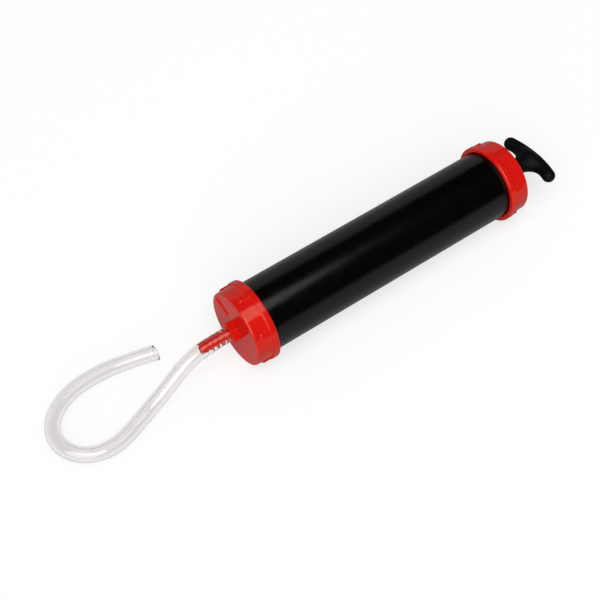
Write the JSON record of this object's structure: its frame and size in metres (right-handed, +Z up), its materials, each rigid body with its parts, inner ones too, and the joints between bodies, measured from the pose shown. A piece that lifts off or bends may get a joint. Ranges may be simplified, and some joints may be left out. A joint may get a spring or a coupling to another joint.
{
  "type": "fluid transfer pump",
  "caption": "Hand suction pump: black tube with red screw caps, T handle on a piston rod, and a short clear hose on a barbed nozzle.",
  "frame": {"origin": "on the surface that the pump lies on, under the middle of its length without the hose", "axes": "+X along the tube towards the handle, +Z up from the surface that the caps lie on"},
  "size_m": [0.4827, 0.0863, 0.069],
  "materials": {
    "barrel_paint": "smooth black enamel on a steel tube",
    "red_plastic": "glossy moulded red plastic",
    "clear_hose": "clear soft vinyl",
    "handle_plastic": "satin moulded black plastic",
    "white_plastic": "natural white machined plastic",
    "seal_rubber": "black nitrile rubber",
    "wiper_felt": "grey pressed felt",
    "zinc_steel": "zinc-plated steel",
    "rod_steel": "ground and plated steel rod",
    "insert_brass": "turned brass"
  },
  "bodies": {
    "pump_body": {"barrel_tube": "barrel_paint", "front_cap": "red_plastic", "front_cap_gasket": "seal_rubber", "hose_nozzle": "red_plastic", "nozzle_seal": "seal_rubber", "hose": "clear_hose", "rear_cap": "red_plastic", "rear_cap_gasket": "seal_rubber", "rod_guide_bush": "white_plastic", "rod_seal": "seal_rubber", "rod_wiper": "wiper_felt", "bush_clip": "zinc_steel"},
    "piston_cups": {"piston_cup_front": "seal_rubber", "piston_cup_rear": "seal_rubber"},
    "plunger": {"piston_rod": "rod_steel", "piston_head": "white_plastic", "piston_washer_front": "zinc_steel", "piston_washer_rear": "zinc_steel", "piston_spring_washer": "zinc_steel", "piston_nut_front": "zinc_steel", "piston_nut_rear": "zinc_steel", "handle_lock_nut": "zinc_steel", "t_handle": "handle_plastic", "handle_insert": "insert_brass"}
  },
  "joints": [
    {"name": "plunger_slide", "type": "slide", "parent": "pump_body", "child": "piston_cups", "axis": [1, 0, 0], "range_m": [0, 0.2075]},
    {"name": "handle_turn", "type": "hinge", "parent": "piston_cups", "child": "plunger", "pos_m": [0, 0, 0.0345], "axis": [1, 0, 0], "continuous": true}
  ]
}
